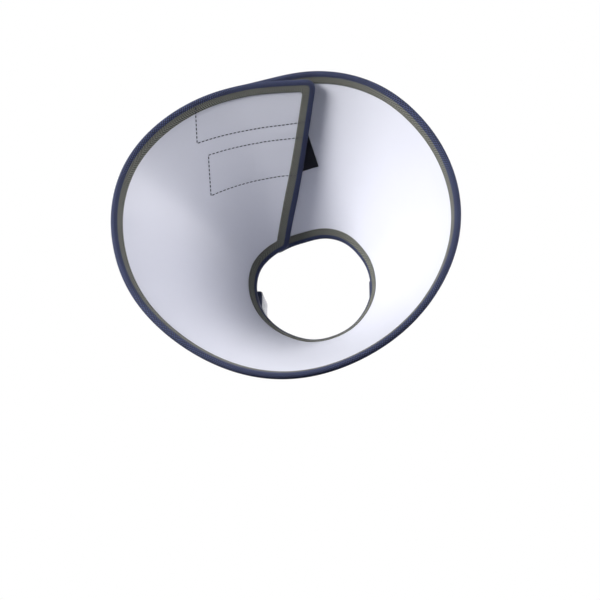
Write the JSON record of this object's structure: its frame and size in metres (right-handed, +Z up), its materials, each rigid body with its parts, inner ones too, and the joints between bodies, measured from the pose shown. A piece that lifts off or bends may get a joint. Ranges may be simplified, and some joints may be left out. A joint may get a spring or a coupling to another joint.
{
  "type": "elizabethan collar",
  "caption": "Soft padded cone collar for a pet, with an overlapped hook and loop closure, taped edges and webbing loops at the neck.",
  "frame": {"origin": "centre of the neck opening, on the cone's axis", "axes": "+Z up as worn, with the overlapped closure at the top; -Y is the way the mouth of the cone faces; +X to the right when looking into the mouth"},
  "size_m": [0.37, 0.1896, 0.3684],
  "materials": {
    "liner": "smooth wipe-clean coated cloth",
    "foam": "closed-cell foam sheet",
    "shell": "navy woven cloth",
    "binding": "navy twill tape",
    "facing": "grey twill tape",
    "hook": "hook tape",
    "loop": "loop pile tape",
    "thread": "sewing thread",
    "webbing": "woven webbing"
  },
  "bodies": {
    "collar_base": {"base_foam": "foam", "base_liner": "liner", "base_neck_binding": "binding", "base_neck_facing": "facing", "base_rim_binding": "binding", "base_rim_facing": "facing", "base_shell": "shell", "neck_loop_tab_1": "webbing", "neck_loop_tab_2": "webbing"},
    "wing": {"neck_loop_tab_3": "webbing", "wing_foam": "foam", "wing_liner": "liner", "wing_neck_binding": "binding", "wing_neck_facing": "facing", "wing_rim_binding": "binding", "wing_rim_facing": "facing", "wing_shell": "shell"},
    "outer_end": {"lower_loop_strip": "loop", "lower_loop_thread": "thread", "outer_end_binding": "binding", "outer_end_facing": "facing", "outer_end_foam": "foam", "outer_end_liner": "liner", "outer_end_shell": "shell", "upper_loop_strip": "loop", "upper_loop_thread": "thread"},
    "inner_flap": {"inner_flap_binding": "binding", "inner_flap_facing": "facing", "inner_flap_foam": "foam", "inner_flap_liner": "liner", "inner_flap_shell": "shell", "lower_hook_strip": "hook", "lower_hook_thread": "thread", "upper_hook_strip": "hook", "upper_hook_thread": "thread"},
    "neck_loop_1": {"neck_loop_1": "webbing"},
    "neck_loop_2": {"neck_loop_2": "webbing"},
    "neck_loop_3": {"neck_loop_3": "webbing"}
  },
  "joints": [
    {"name": "wing_opening", "type": "hinge", "parent": "collar_base", "child": "wing", "pos_m": [0.08574, -0.0729, -0.08574], "axis": [-0.4255, 0.7986, 0.4255], "range_deg": [0, 50]},
    {"name": "outer_end_peel", "type": "hinge", "parent": "wing", "child": "outer_end", "pos_m": [0.04596, -0.07063, 0.12555], "axis": [-0.2163, 0.7747, -0.5942], "range_deg": [0, 85]},
    {"name": "inner_flap_lift", "type": "hinge", "parent": "collar_base", "child": "inner_flap", "pos_m": [-0.1231, -0.07718, 0.05774], "axis": [0.5989, 0.7505, -0.2793], "range_deg": [0, 55]},
    {"name": "neck_loop_1_swing", "type": "hinge", "parent": "collar_base", "child": "neck_loop_1", "pos_m": [-0.06702, 0.00628, 0], "axis": [0, 0, 1], "range_deg": [-90, 50]},
    {"name": "neck_loop_2_swing", "type": "hinge", "parent": "collar_base", "child": "neck_loop_2", "pos_m": [0, 0.00628, -0.06163], "axis": [-1, 0, 0], "range_deg": [-90, 50]},
    {"name": "neck_loop_3_swing", "type": "hinge", "parent": "wing", "child": "neck_loop_3", "pos_m": [0.06204, 0.00628, 0], "axis": [0, 0, -1], "range_deg": [-90, 50]}
  ]
}
